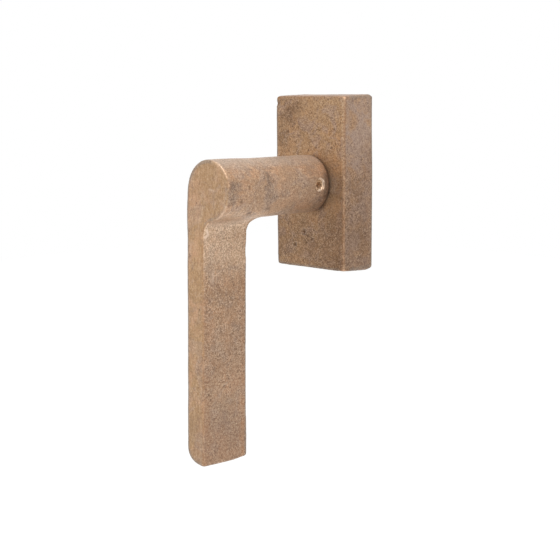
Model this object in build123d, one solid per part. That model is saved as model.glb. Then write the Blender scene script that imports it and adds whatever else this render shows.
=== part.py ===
from build123d import *

import math
import os

# Window handle for a tilt and turn sash: a bar grip on a round neck, on a block rosette that
# hides a detent. Millimetres. X is to the right, Z is up, and the room lies towards -Y.
# The sash face is the plane Y = 0, and the spindle axis is the line X = Z = 0.
# A depth is the distance from the sash face into the room, so a point at depth d has Y = -d.

# Grip and neck, one casting
neck_radius = 11.0
neck_reach = 53.7  # rosette face to the front of the grip
neck_standoff = 0.5  # rosette face to the visible end of the neck
neck_end_radius = 1.6  # rounded edge of that end
neck_shoulder = 1.8  # from the journal that runs in the rosette out to the neck's surface
grip_thickness = 8.5  # along X, from the neck's left side inwards
grip_depth = 21.7  # along Y
grip_drop = 103.3  # spindle axis to the lower end
grip_outer_corner_radius = 6.5
grip_inner_corner_radius = 1.2
grip_edge_radius = 0.6
grip_root_radius = 8.0  # between the neck's underside and the back of the grip
crease_radius = 5.5  # between the neck's underside and the right side of the grip
journal_chamfer = 0.3

# Rosette cover, a hollow casting
screw_spacing = 43.0
rosette_end_margin = 11.5  # screw centre to the end of the front face
rosette_width = 36.0
rosette_depth = 15.0
rosette_draft = 0.7  # how far each side widens from the front face to the sash
rosette_side_wall = 3.0
rosette_front_wall = 3.6
rosette_edge_radius = 0.6
rosette_rim_chamfer = 0.3
neck_opening_gap = 0.3  # round the neck's journal
neck_opening_lip = 1.4

# Driver hub, detent and spindle
spindle_across = 7.0
spindle_chamfer = 0.5
spindle_end_depth = 1.5  # its rear end lies this deep in the hub when pushed home
spindle_travel = 32.0  # how far it slides out towards the sash
spindle_hold = 1.6  # what is left of it past the grub screw when it is right out
spigot_wall = 1.5
spigot_length = 13.7
spigot_corner_radius = 1.2
cam_shoulder = 0.95  # flat of the cam beyond the journal
cam_lift = 1.2  # corner of the cam beyond its flat
hub_end_depth = 0.4
stop_tab_height = 1.5
stop_tab_width = 4.0
stop_play = 0.15  # between the tab and the end of its window
leaves_per_side = 2
leaf_thickness = 0.5
leaf_end_wall = 1.3
disc_spring_thickness = 0.4
disc_spring_rise = 0.5
disc_spring_width = 1.6

# Base plate, lid and neck bush
floor_thickness = 2.5
rib_thickness = 3.0
lug_radius = 5.0
lug_length = 6.0
lug_chamfer = 0.5
fixing_hole_radius = 2.65
fixing_head_radius = 4.75
head_clearance = 0.45
lid_thickness = 1.2
lid_corner_radius = 2.0
bush_wall = 1.4
bush_flange_thickness = 0.9
nose_width = 15.0
nose_height = 1.8
nose_reach = 1.2

# Fasteners
grub_radius = 2.5
grub_recess = 0.8
grub_depth_from_rosette = 6.3
grub_point_radius = 1.7
grub_point_hole_gap = 0.3
grub_hex_across = 2.5
grub_hex_depth = 2.5
grub_mouth_step = 0.15  # the wider, shallow mouth of its hole
lid_screw_radius = 1.25
lid_screw_length = 5.5
lid_screw_head_radius = 2.2
lid_screw_slot_width = 0.5
lid_screw_slot_depth = 0.45
cover_screw_radius = 1.5
cover_screw_recess = 0.4
cover_screw_hex_across = 1.5
cover_screw_hex_depth = 1.5

# Clearances
seat_gap = 0.05  # flat faces that slide or seat on each other
running_gap = 0.08  # round journals, radial
thread_gap = 0.05  # a thread drawn plain, radial
fit_gap = 0.3  # casting to casting
free_gap = 0.35  # a part that flexes or swings, to what is beside it
neck_end_gap = 0.6  # lid to the end of the neck
overcut = 1.0  # how far a cutter runs past the face that it cuts

# Worked out from the values above
rosette_height = screw_spacing + 2 * rosette_end_margin
grip_front = rosette_depth + neck_reach
grip_back = grip_front - grip_depth
grip_left = -neck_radius
grip_right = grip_left + grip_thickness

cavity_width = rosette_width - 2 * rosette_side_wall
cavity_height = rosette_height - 2 * rosette_side_wall
cavity_depth = rosette_depth - rosette_front_wall
base_width = cavity_width - 2 * fit_gap
base_height = cavity_height - 2 * fit_gap

neck_journal_radius = neck_radius - neck_shoulder
bush_bore_radius = neck_journal_radius + running_gap
bush_radius = bush_bore_radius + bush_wall
bush_flange_radius = base_width / 2
bush_back = cavity_depth - bush_flange_thickness
bush_front = rosette_depth - neck_opening_lip
lid_front = bush_back - fit_gap
lid_back = lid_front - lid_thickness
neck_end = lid_front + neck_end_gap

corner_share = math.sqrt(2) - 1  # how far a square's sharp corner lies past its flat
spigot_across = spindle_across + 2 * spigot_wall
spigot_reach = spigot_across / 2 * math.sqrt(2) - corner_share * spigot_corner_radius
journal_radius = spigot_reach + fit_gap
journal_bore_radius = journal_radius + running_gap
cam_half = journal_radius + cam_shoulder
cam_reach = cam_half + cam_lift
cam_corner_radius = cam_half - cam_lift / corner_share
cam_back = floor_thickness + disc_spring_thickness + disc_spring_rise + 2 * seat_gap
cam_front = lid_back - seat_gap
stop_reach = journal_radius + stop_tab_height

leaf_pack = leaves_per_side * (leaf_thickness + seat_gap)
pocket_half_width = cam_half + leaf_pack + cam_lift + free_gap
pocket_half_height = cam_reach + free_gap
block_half_height = screw_spacing / 2 - fixing_head_radius - head_clearance
slot_half_height = block_half_height - leaf_end_wall
slot_inner = cam_half
slot_outer = cam_half + leaf_pack + 2 * seat_gap
leaf_back = cam_back - seat_gap
leaf_length = 2 * (slot_half_height - fit_gap)

grub_depth = rosette_depth + grub_depth_from_rosette
spindle_top = spindle_travel + grub_depth + grub_radius + spindle_hold
lid_screw_x = base_width / 2 - lid_screw_head_radius - fit_gap
lid_screw_z = block_half_height - lid_screw_head_radius - fit_gap
cover_screw_tip = base_height / 2 - rib_thickness
cover_screw_depth = (floor_thickness + lid_back) / 2


def block(x0, x1, depth0, depth1, z0, z1):
    """A box between two X values, two depths and two heights."""
    size = Box(x1 - x0, depth1 - depth0, z1 - z0)
    return Pos((x0 + x1) / 2, -(depth0 + depth1) / 2, (z0 + z1) / 2) * size


def centred_block(width, depth0, depth1, height):
    """A box centred on the spindle axis."""
    return block(-width / 2, width / 2, depth0, depth1, -height / 2, height / 2)


def rod(radius, depth0, depth1, x=0.0, z=0.0):
    """A round bar along Y between two depths."""
    return Pos(x, 0, z) * extrude(Plane.XZ.offset(depth0) * Circle(radius), depth1 - depth0)


def prism(profile, depth0, depth1):
    """A profile drawn in X and Z, pushed out between two depths."""
    return extrude(Plane.XZ.offset(depth0) * profile, depth1 - depth0)


def square_profile(half, corner_radius):
    return RectangleRounded(2 * half, 2 * half, corner_radius)


def cone(radius0, radius1, depth0, depth1, x=0.0, z=0.0):
    """A cone along Y with one radius at each depth."""
    back = Plane.XZ.offset(depth0) * Pos(x, z) * Circle(radius0)
    front = Plane.XZ.offset(depth1) * Pos(x, z) * Circle(radius1)
    return loft([back, front])


def rod_along_x(radius, x0, x1, depth):
    """A round bar along X at one depth, at the height of the spindle."""
    return Plane.YZ.offset(x0) * Pos(-depth, 0) * extrude(Circle(radius), x1 - x0)


def rod_along_z(radius, z0, z1, depth):
    """A round bar along Z at one depth, under the spindle."""
    return Plane.XY.offset(z0) * Pos(0, -depth) * extrude(Circle(radius), z1 - z0)


def edges_at_depth(solid, depth):
    """The edges that lie whole in the plane at one depth."""
    return solid.edges().filter_by_position(Axis.Y, -depth, -depth, inclusive=(True, True))


def grip_outline():
    """The front view of disc and bar: a circle whose left side runs on down as the bar."""
    bar = Pos((grip_left + grip_right) / 2, -grip_drop / 2) * Rectangle(grip_thickness, grip_drop)
    low = bar.vertices().sort_by(Axis.Y)[:2].sort_by(Axis.X)
    bar = fillet(low[0], grip_outer_corner_radius)
    low = bar.vertices().sort_by(Axis.Y)[:2].sort_by(Axis.X)
    bar = fillet(low[-1], grip_inner_corner_radius)
    outline = Circle(neck_radius) + bar
    crease_height = -math.sqrt(neck_radius**2 - grip_right**2)
    crease = outline.vertices().sort_by_distance((grip_right, crease_height, 0))[0]
    return fillet(crease, crease_radius)


def grip_root():
    """The hollow curve between the neck's underside and the flat of the grip's back."""
    centre_radius = neck_radius + grip_root_radius
    corner = Rectangle(grip_root_radius, grip_root_radius, align=(Align.MIN, Align.MAX))
    ring = Pos(neck_radius, -grip_back + grip_root_radius) * corner
    ring -= Pos(centre_radius, -grip_back + grip_root_radius) * Circle(grip_root_radius)
    ring = revolve(ring, Axis.Y)
    flat = offset(grip_outline(), -grip_edge_radius)
    return ring & prism(flat, grip_back - grip_root_radius, grip_back)


def make_handle():
    """Disc, bar, neck and journal in one, with a square socket, a bore and the grub screw's hole."""
    head = prism(grip_outline(), grip_back, grip_front)
    rims = edges_at_depth(head, grip_front) + edges_at_depth(head, grip_back)
    head = fillet(rims, grip_edge_radius)
    visible_end = rosette_depth + neck_standoff
    neck = rod(neck_radius, visible_end, grip_front - grip_edge_radius)
    neck = fillet(edges_at_depth(neck, visible_end), neck_end_radius)
    journal = rod(neck_journal_radius, neck_end, visible_end + overcut)
    journal = chamfer(edges_at_depth(journal, neck_end), journal_chamfer)
    body = head + neck + journal + grip_root()
    socket_end = neck_end + spigot_length + seat_gap
    socket = square_profile(spigot_across / 2 + seat_gap, spigot_corner_radius)
    spindle_bore = (spindle_across * math.sqrt(2) + fit_gap) / 2
    body -= prism(socket, neck_end - overcut, socket_end)
    body -= rod(spindle_bore, socket_end - overcut, spindle_top + overcut)
    body -= rod_along_x(grub_radius, 0, neck_radius + overcut, grub_depth)
    mouth = rod_along_x(grub_radius + grub_mouth_step, 0, neck_radius + overcut, grub_depth)
    mouth -= rod(neck_radius - grub_mouth_step, neck_end, grip_back)
    return body - mouth


def make_driver_hub():
    """Square socket, rear journal, cam, front journal with the stop tab, and square spigot."""
    hub = rod(journal_radius, hub_end_depth, neck_end)
    hub += prism(square_profile(cam_half, cam_corner_radius), cam_back, cam_front)
    tab_half = stop_tab_width / 2
    hub += block(-stop_reach, 0, lid_back, lid_front - seat_gap, -tab_half, tab_half)
    spigot = square_profile(spigot_across / 2, spigot_corner_radius)
    hub += prism(spigot, neck_end - overcut, neck_end + spigot_length)
    socket = spindle_across + 2 * seat_gap
    hub -= centred_block(socket, 0, neck_end + spigot_length + overcut, socket)
    hub -= rod_along_x(grub_point_radius + grub_point_hole_gap, 0, neck_radius, grub_depth)
    return hub


def make_spindle():
    bar = centred_block(spindle_across, spindle_end_depth, spindle_top, spindle_across)
    ends = edges_at_depth(bar, spindle_end_depth) + edges_at_depth(bar, spindle_top)
    return chamfer(ends, spindle_chamfer)


def hexagon(across):
    return RegularPolygon(across / 2, 6, major_radius=False)


def make_grub_screw():
    """Lies along X in the neck's right side, with its point on the spindle."""
    outer = neck_radius - grub_recess
    shoulder = spigot_across / 2 + seat_gap
    tip = spindle_across / 2 + seat_gap
    screw = rod_along_x(grub_radius - thread_gap, shoulder, outer, grub_depth)
    screw += rod_along_x(grub_point_radius, tip, shoulder + overcut, grub_depth)
    hole = extrude(hexagon(grub_hex_across), grub_hex_depth + overcut)
    screw -= Plane.YZ.offset(outer - grub_hex_depth) * Pos(-grub_depth, 0) * hole
    return screw


def make_rosette_cover():
    front = Plane.XZ.offset(rosette_depth) * Rectangle(rosette_width, rosette_height)
    back_size = (rosette_width + 2 * rosette_draft, rosette_height + 2 * rosette_draft)
    shell = loft([Plane.XZ * Rectangle(*back_size), front])
    rim = edges_at_depth(shell, 0)
    shell = fillet(shell.edges() - rim, rosette_edge_radius)
    shell = chamfer(edges_at_depth(shell, 0), rosette_rim_chamfer)
    shell -= centred_block(cavity_width, -overcut, cavity_depth, cavity_height)
    shell -= rod(neck_journal_radius + neck_opening_gap, 0, rosette_depth + overcut)
    shell -= rod(bush_radius + seat_gap, 0, bush_front)
    half = nose_width / 2 + fit_gap
    top = cavity_height / 2
    depth0 = cover_screw_depth - nose_height / 2 - fit_gap
    depth1 = cover_screw_depth + nose_height / 2 + fit_gap
    shell -= block(-half, half, depth0, depth1, top - overcut, top + nose_reach)
    bottom = rosette_height / 2 + rosette_draft + overcut
    shell -= rod_along_z(cover_screw_radius, -bottom, 0, cover_screw_depth)
    return shell


def make_base_plate():
    """Floor with two support lugs, a block with the detent's pocket, and a rib at each end."""
    half_width, half_height = base_width / 2, base_height / 2
    base = centred_block(base_width, 0, floor_thickness, base_height)
    base += centred_block(base_width, 0, lid_back, 2 * block_half_height)
    for side in (-1, 1):
        z0, z1 = sorted((side * half_height, side * (half_height - rib_thickness)))
        base += block(-half_width, half_width, 0, lid_back, z0, z1)
    nose = block(
        -nose_width / 2,
        nose_width / 2,
        cover_screw_depth - nose_height / 2,
        cover_screw_depth + nose_height / 2,
        half_height - overcut,
        half_height + nose_reach,
    )
    base += nose
    pocket_front = lid_back + overcut
    base -= centred_block(
        2 * pocket_half_width, floor_thickness, pocket_front, 2 * pocket_half_height
    )
    for side in (-1, 1):
        x0, x1 = sorted((side * slot_inner, side * slot_outer))
        base -= block(x0, x1, leaf_back, pocket_front, -slot_half_height, slot_half_height)
    base -= rod(journal_bore_radius, -overcut, floor_thickness + overcut)
    for x, z in lid_screw_places():
        bottom = lid_front - lid_screw_length - fit_gap
        base -= rod(lid_screw_radius + thread_gap, bottom, lid_front, x, z)
    for z in (-screw_spacing / 2, screw_spacing / 2):
        lug = rod(lug_radius, -lug_length, overcut, 0, z)
        base += chamfer(edges_at_depth(lug, -lug_length), lug_chamfer)
        base -= rod(fixing_hole_radius, -lug_length - overcut, lid_back, 0, z)
        seat_depth = floor_thickness - (fixing_head_radius - fixing_hole_radius)
        base -= cone(fixing_hole_radius, fixing_head_radius, seat_depth, floor_thickness, 0, z)
    screw_hole = cover_screw_radius + thread_gap
    base -= rod_along_z(screw_hole, -half_height - overcut, -cover_screw_tip, cover_screw_depth)
    return base


def make_leaf(side, number):
    """One flat leaf spring beside the cam. Number 0 lies against it."""
    inner = cam_half + seat_gap + number * (leaf_thickness + seat_gap)
    x0, x1 = sorted((side * inner, side * (inner + leaf_thickness)))
    return block(x0, x1, leaf_back + seat_gap, cam_front, -leaf_length / 2, leaf_length / 2)


def make_disc_spring():
    """A shallow cone that presses the hub against the lid, wide edge on the base plate."""
    inner = journal_bore_radius
    outer = inner + disc_spring_width
    low = floor_thickness + seat_gap
    high = low + disc_spring_rise
    with BuildSketch() as profile:
        with BuildLine():
            Polyline(
                (outer, -low),
                (inner, -high),
                (inner, -high - disc_spring_thickness),
                (outer, -low - disc_spring_thickness),
                close=True,
            )
        make_face()
    return revolve(profile.sketch, Axis.Y)


def lid_screw_places():
    return [(x, z) for x in (-lid_screw_x, lid_screw_x) for z in (-lid_screw_z, lid_screw_z)]


def make_mechanism_lid():
    """A plate over the pocket. The upper half of its hole is wider, and its ends stop the tab."""
    outline = RectangleRounded(base_width, 2 * block_half_height, lid_corner_radius)
    lid = prism(outline, lid_back, lid_front)
    lid -= rod(journal_bore_radius, lid_back - overcut, lid_front + overcut)
    window = rod(stop_reach + fit_gap, lid_back - overcut, lid_front + overcut)
    stop_edge = -stop_tab_width / 2 - stop_play
    reach = stop_reach + overcut
    upper = block(-reach, reach, 0, rosette_depth, stop_edge, reach)
    lid -= window & upper
    for x, z in lid_screw_places():
        lid -= rod(lid_screw_radius + thread_gap, lid_back - overcut, lid_front, x, z)
        lid -= lid_screw_head(seat_gap, x, z)
    return lid


def lid_screw_head(gap, x, z):
    """A countersunk head flush with the lid, or with a gap, the seat that it lies in."""
    head_back = lid_front - (lid_screw_head_radius - lid_screw_radius)
    return cone(lid_screw_radius + gap, lid_screw_head_radius + gap, head_back, lid_front, x, z)


def make_lid_screws():
    screws = []
    for x, z in lid_screw_places():
        screw = rod(lid_screw_radius, lid_front - lid_screw_length, lid_front, x, z)
        screw += lid_screw_head(0, x, z)
        slot_back, slot_front = lid_front - lid_screw_slot_depth, lid_front + overcut
        slot_length = 3 * lid_screw_head_radius
        slot = centred_block(slot_length, slot_back, slot_front, lid_screw_slot_width)
        screws.append(screw - Pos(x, 0, z) * slot)
    return Compound(children=screws)


def make_neck_bush():
    bush = rod(bush_radius, bush_back, bush_front)
    bush += rod(bush_flange_radius, bush_back, cavity_depth - seat_gap)
    return bush - rod(bush_bore_radius, bush_back - overcut, bush_front + overcut)


def make_cover_screw():
    """Set in the underside of the cover, with its point in the base plate's lower rib."""
    draft_here = rosette_draft * (1 - cover_screw_depth / rosette_depth)
    outer = -(rosette_height / 2 + draft_here) + cover_screw_recess
    tip = -cover_screw_tip - fit_gap
    screw = rod_along_z(cover_screw_radius - thread_gap, outer, tip, cover_screw_depth)
    hole = extrude(hexagon(cover_screw_hex_across), cover_screw_hex_depth + overcut)
    screw -= Plane.XY.offset(outer - overcut) * Pos(0, -cover_screw_depth) * hole
    return screw


parts = {
    "handle": make_handle(),
    "grub_screw": make_grub_screw(),
    "driver_hub": make_driver_hub(),
    "spindle": make_spindle(),
    "rosette_cover": make_rosette_cover(),
    "cover_screw": make_cover_screw(),
    "base_plate": make_base_plate(),
    "mechanism_lid": make_mechanism_lid(),
    "lid_screws": make_lid_screws(),
    "neck_bush": make_neck_bush(),
    "disc_spring": make_disc_spring(),
}
for side, side_name in ((-1, "left"), (1, "right")):
    for number in range(leaves_per_side):
        parts[f"detent_leaf_{side_name}_{number + 1}"] = make_leaf(side, number)

os.makedirs("parts", exist_ok=True)
for name, shape in parts.items():
    export_step(shape, f"parts/{name}.step")
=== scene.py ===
import math
import random
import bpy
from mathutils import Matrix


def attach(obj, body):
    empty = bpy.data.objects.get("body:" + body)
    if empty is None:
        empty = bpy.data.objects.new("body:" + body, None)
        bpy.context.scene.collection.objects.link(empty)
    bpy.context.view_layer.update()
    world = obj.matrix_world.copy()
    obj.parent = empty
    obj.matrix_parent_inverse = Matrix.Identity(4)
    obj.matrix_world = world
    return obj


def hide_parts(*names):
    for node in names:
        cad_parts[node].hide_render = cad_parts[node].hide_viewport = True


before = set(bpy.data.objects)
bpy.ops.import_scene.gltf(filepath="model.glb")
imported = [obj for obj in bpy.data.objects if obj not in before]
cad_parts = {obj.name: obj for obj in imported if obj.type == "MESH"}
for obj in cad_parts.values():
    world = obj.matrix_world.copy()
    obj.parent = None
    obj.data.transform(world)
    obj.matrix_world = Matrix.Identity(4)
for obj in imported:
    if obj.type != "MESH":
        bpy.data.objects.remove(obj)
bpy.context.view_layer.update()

from types import SimpleNamespace

import bmesh
import bpy
import numpy as np
from mathutils import Vector, noise

# Window handle in raw cast bronze. The scene is in metres, in the same frame as the CAD: the
# sash is the plane Y = 0, the room lies towards -Y, and the spindle axis is X = Z = 0.
# The object's sizes are written in millimetres and multiplied by MM. A depth is the distance
# from the sash face into the room, so a point at depth d has Y = -d.

MM = 0.001
SEED = 11

# Handle casting
NECK_RADIUS = 11.0
BAR_LEFT, BAR_RIGHT = -11.0, -2.5
BAR_BACK, BAR_FRONT = 47.0, 68.7
BAR_END = -103.3
BAR_DROP = -BAR_END - NECK_RADIUS  # below the neck's underside
ROOT_RADIUS = 8.0
HOLE_DEPTH, HOLE_RADIUS, HOLE_MOUTH_RADIUS = 21.3, 2.5, 2.62
HOLE_FLOOR = 3.8  # X of its inner end
HANDLE_VOXEL = 0.37

# How far the handle casting is out of true
BAR_LEAN = 0.6
BAR_WIDENING = 0.7
HEAD_SWELL = 0.32
NECK_SAG = 0.25
BACK_BULGE = {"all over": 0.25, "less below": 0.2, "end": 0.35, "root": 0.45}
END_CROWN, HEEL_LIFT, TOE_DROP = 0.3, 0.3, 0.4

# Rosette casting
ROSETTE_DEPTH = 15.0
HALF_WIDTH, HALF_HEIGHT = 18.0, 33.0  # at its front
DRAFT = 0.7  # how much wider each side is at the sash
ROSETTE_VOXEL = 0.36

# How far the rosette casting is out of true
LEFT_SWELL, UPPER_LEFT_SWELL = 0.3, 0.6
FRONT_INSET, BACK_INSET = 0.5, 0.45  # of its right side
TOP_LIFT = {"back right": 0.5, "front": 0.25, "front right": 0.35}
WORN_HEIGHT, WORN_DEPTH = 3.2, 2.4  # of the corner worn off at the lower right of the back


# Meshes

def add_object(name, mesh):
    piece = bpy.data.objects.new(name, mesh)
    bpy.context.scene.collection.objects.link(piece)
    return piece


def applied(piece):
    """Applies the piece's modifiers to its mesh."""
    graph = bpy.context.evaluated_depsgraph_get()
    mesh = bpy.data.meshes.new_from_object(piece.evaluated_get(graph))
    piece.modifiers.clear()
    piece.data = mesh


def mesh_of(form, name):
    mesh = bpy.data.meshes.new(name)
    form.to_mesh(mesh)
    form.free()
    return mesh


def dense_copy(node, name, voxel, extras=()):
    """A fine even mesh of a CAD node, joined with some extra closed meshes."""
    form = bmesh.new()
    form.from_mesh(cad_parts[node].data)
    bmesh.ops.remove_doubles(form, verts=form.verts, dist=0.001 * MM)
    for extra in extras:
        form.from_mesh(extra)
    piece = add_object(name, mesh_of(form, name))
    remesh = piece.modifiers.new("even", "REMESH")
    remesh.mode = "VOXEL"
    remesh.voxel_size = voxel * MM
    applied(piece)
    return piece


def closed_stack(name, rings):
    """A closed mesh through a row of point rings of the same length, all in millimetres."""
    form = bmesh.new()
    rows = [[form.verts.new(Vector(p) * MM) for p in ring] for ring in rings]
    count = len(rings[0])
    for low, high in zip(rows, rows[1:]):
        for i in range(count):
            j = (i + 1) % count
            form.faces.new((low[i], low[j], high[j], high[i]))
    form.faces.new(rows[0][::-1])
    form.faces.new(rows[-1])
    bmesh.ops.recalc_face_normals(form, faces=form.faces)
    return mesh_of(form, name)


class Cloud:
    """A mesh's points in millimetres as arrays, to be shaped and then written back."""

    def __init__(self, piece):
        self.mesh = piece.data
        self.count = len(self.mesh.vertices)
        flat = np.empty(self.count * 3)
        self.mesh.vertices.foreach_get("co", flat)
        self.points = flat.reshape(-1, 3) / MM
        pairs = np.empty(len(self.mesh.edges) * 2, dtype=np.int64)
        self.mesh.edges.foreach_get("vertices", pairs)
        pairs = pairs.reshape(-1, 2)
        self.starts = np.concatenate([pairs[:, 0], pairs[:, 1]])
        self.ends = np.concatenate([pairs[:, 1], pairs[:, 0]])
        self.degree = np.maximum(np.bincount(self.starts, minlength=self.count), 1)

    def places(self):
        """X, depth and Z of every point. X and Z follow when the points are shifted in place."""
        return self.points[:, 0], -self.points[:, 1], self.points[:, 2]

    def around(self, values):
        """The mean of each point's neighbours."""
        if values.ndim == 1:
            return np.bincount(self.starts, values[self.ends], self.count) / self.degree
        columns = [self.around(values[:, k]) for k in range(values.shape[1])]
        return np.stack(columns, axis=1)

    def smooth(self, times, weight=1.0, keep_size=True):
        """Rounds the mesh. To keep its size, each pass is taken back by one slightly larger."""
        weight = np.broadcast_to(np.asarray(weight, float), (self.count,))[:, None]
        for _ in range(times):
            self.points = self.points + 0.5 * weight * (self.around(self.points) - self.points)
            if keep_size:
                back = self.around(self.points) - self.points
                self.points = self.points - 0.52 * weight * back

    def spread(self, values, times):
        for _ in range(times):
            values = 0.5 * values + 0.5 * self.around(values)
        return values

    def write(self):
        self.mesh.vertices.foreach_set("co", (self.points * MM).ravel())
        self.mesh.update()

    def normals(self):
        self.write()
        flat = np.empty(self.count * 3)
        self.mesh.vertex_normals.foreach_get("vector", flat)
        return flat.reshape(-1, 3)

    def curvature(self, times):
        """Positive on edges that stick out, negative in corners, in millimetres."""
        blurred = self.spread(self.points, times)
        return ((self.points - blurred) * self.normals()).sum(axis=1)

    def store(self, **layers):
        """Writes each layer to the mesh, for the materials, cut off at 0 and 1."""
        for name, values in layers.items():
            layer = self.mesh.attributes.new(name, "FLOAT", "POINT")
            layer.data.foreach_set("value", np.clip(values, 0, 1).astype(np.float32))

    def shade(self, sharp_angle):
        self.mesh.shade_smooth()
        self.mesh.set_sharp_from_angle(angle=math.radians(sharp_angle))


# Painting by place

def step(values, low, high):
    """0 at low, 1 at high and smooth between. Low may be the larger of the two."""
    t = np.clip((values - low) / (high - low), 0, 1)
    return t * t * (3 - 2 * t)


def ridge(values, middle, width):
    """1 in the middle, fading over about the width to both sides."""
    return np.exp(-((values - middle) / width) ** 2)


def waves(points, size, seed):
    """Smooth noise from -1 to 1 whose bumps are about the given size in millimetres."""
    shift = Vector((seed * 17.3, seed * 5.1, seed * 9.7))
    return np.array([noise.noise(Vector(p) / size + shift) for p in points])


def relief(points, swings):
    """Waves added up. Each swing is a height, a size and a seed."""
    return sum(height * waves(points, size, seed) for height, size, seed in swings)


def uneven(points, level, *swings):
    """A level from 0 to 1 that wanders. Each swing is a share, a size and a seed."""
    for share, size, seed in swings:
        level = level + share * waves(points, size, seed)
    return np.clip(level, 0, 1)


def blob(points, place, radius):
    """1 at a place, fading to 0 at the radius."""
    far = np.linalg.norm(points - np.array(place, float), axis=1) / radius
    return step(far, 1, 0)


def ragged(points, seed):
    """The points shifted about, so that what is painted by place gets ragged edges."""
    return points + np.stack([waves(points, 3.0, seed + k) for k in range(3)], axis=1) * 2.2


def patches(points, places):
    """Patches on a surface. Each is a place with its depth, a radius and a strength."""
    total = np.zeros(len(points))
    for x, depth, z, radius, strength in places:
        total = np.maximum(total, blob(points, (x, -depth, z), radius) * strength)
    return total


def scratches(points, lines):
    """Fine lines, each between two places with a depth."""
    total = np.zeros(len(points))
    for x0, depth0, z0, x1, depth1, z1 in lines:
        start, end = np.array((x0, -depth0, z0)), np.array((x1, -depth1, z1))
        along = end - start
        share = np.clip((points - start) @ along / (along @ along), 0, 1)
        far = np.linalg.norm(points - start - share[:, None] * along, axis=1)
        total = np.maximum(total, step(far, 0.65, 0.2))
    return total


def strongest(first, *others):
    for other in others:
        first = np.maximum(first, other)
    return first


# Handle: grip, disc and neck

def root_web():
    """The full-width hollow curve between the neck's underside and the back of the bar."""
    inset, sink, overlap = 0.04, 1.2, 1.0
    rings = []
    for x in np.linspace(BAR_LEFT + inset, BAR_RIGHT - inset, 26):
        under = -math.sqrt(NECK_RADIUS**2 - x**2)
        ring = []
        for turn in np.linspace(0, math.pi / 2, 17):
            depth = BAR_BACK - ROOT_RADIUS * (1 - math.sin(turn))
            z = under - ROOT_RADIUS * (1 - math.cos(turn))
            ring.append((x, -depth, z))
        ring.append((x, -BAR_BACK - sink, under - ROOT_RADIUS))
        ring.append((x, -BAR_BACK - sink, under + overlap))
        ring.append((x, -BAR_BACK + ROOT_RADIUS, under + overlap))
        rings.append(ring)
    return closed_stack("root_web", rings)


def hole_plug():
    """Fills the set screw's hole, so that it can be cut again with clean edges."""
    inner, outer, half_width = 7.4, NECK_RADIUS, 3.3
    rings = []
    for turn in np.radians(np.linspace(-20, 20, 41)):
        cos, sin = math.cos(turn), math.sin(turn)
        ring = []
        for radius, side in ((inner, -1), (outer, -1), (outer, 1), (inner, 1)):
            ring.append((radius * cos, -HOLE_DEPTH - half_width * side, radius * sin))
        rings.append(ring)
    return closed_stack("hole_plug", rings)


def hole_cutter():
    """A turned cutter along X: the hole, with a small bevel at its mouth, which sits high."""
    axis, bevel_start, mouth, outer_end, mouth_lift = 0.01, 10.75, 11.0, 12.0, 0.22
    profile = (
        (HOLE_FLOOR, axis),
        (HOLE_FLOOR, HOLE_RADIUS),
        (bevel_start, HOLE_RADIUS),
        (mouth, HOLE_MOUTH_RADIUS),
        (outer_end, HOLE_MOUTH_RADIUS),
        (outer_end, axis),
    )
    rings = []
    for x, radius in profile:
        ring = []
        for turn in np.linspace(0, 2 * math.pi, 97)[:-1]:
            z = radius * math.sin(turn) + (mouth_lift if x > bevel_start else 0.0)
            ring.append((x, -HOLE_DEPTH + radius * math.cos(turn), z))
        rings.append(ring)
    return closed_stack("hole_cutter", rings)


# X, depth, Z, radius and strength
HANDLE_STAINS = [
    (10.3, 48.0, 4.0, 4.6, 1.0),
    (10.9, 48.6, 0.5, 4.0, 0.95),
    (7.2, 46.8, 8.3, 3.4, 0.8),
    (7.0, 55.1, -8.5, 3.2, 0.95),
    (8.4, 46.2, -7.1, 2.8, 0.85),
    (10.9, 64.9, 1.7, 5.0, 0.7),
    (10.6, 66.4, -3.0, 4.0, 0.35),
    (8.1, 56.5, 7.5, 2.6, 0.6),
    (9.6, 60.0, 5.0, 3.2, 0.45),
    (10.0, 53.5, -4.2, 3.0, 0.45),
    (11.0, 40.0, -1.0, 4.5, 0.35),
    (10.0, 31.0, 4.5, 4.0, 0.3),
    (9.2, 19.8, -6.0, 4.6, 1.0),
    (10.2, 17.8, 4.0, 3.0, 0.5),
    (BAR_RIGHT, 54.4, -29.5, 4.5, 0.7),
    (BAR_RIGHT, 64.2, -26.4, 5.5, 0.85),
    (BAR_RIGHT, 58.0, -43.0, 4.0, 0.25),
    (BAR_RIGHT, 55.0, -60.0, 6.5, 0.55),
    (BAR_RIGHT, 51.5, -54.0, 7.5, 0.6),
    (BAR_RIGHT, 60.0, -53.0, 5.0, 0.35),
    (BAR_RIGHT, 65.5, -68.5, 4.5, 0.7),
    (BAR_RIGHT, 59.5, -86.5, 6.5, 0.65),
    (BAR_RIGHT, 54.0, -93.0, 7.0, 0.55),
    (BAR_RIGHT, 62.0, -97.0, 5.0, 0.6),
    (BAR_LEFT, 58.0, -40.0, 9.0, 0.6),
    (BAR_LEFT, 55.0, -80.0, 9.0, 0.55),
    (BAR_LEFT, 64.0, -16.0, 6.0, 0.5),
    (-7.0, BAR_BACK, -60.0, 9.0, 0.5),
    (-7.0, BAR_BACK, -92.0, 6.0, 0.6),
    (-10.0, 40.0, 5.0, 7.0, 0.7),
    (-8.0, 26.0, -7.0, 6.0, 0.7),
    (2.0, 36.0, 11.0, 6.0, 0.5),
    (-5.0, BAR_FRONT, -67.0, 6.5, 0.6),
    (9.2, BAR_FRONT, 0.5, 3.8, 0.5),
    (10.9, 47.0, -3.0, 4.5, 0.75),
    (9.8, 25.3, 5.0, 5.0, 0.55),
    (5.6, 54.5, -9.4, 4.5, 0.8),
]
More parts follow.
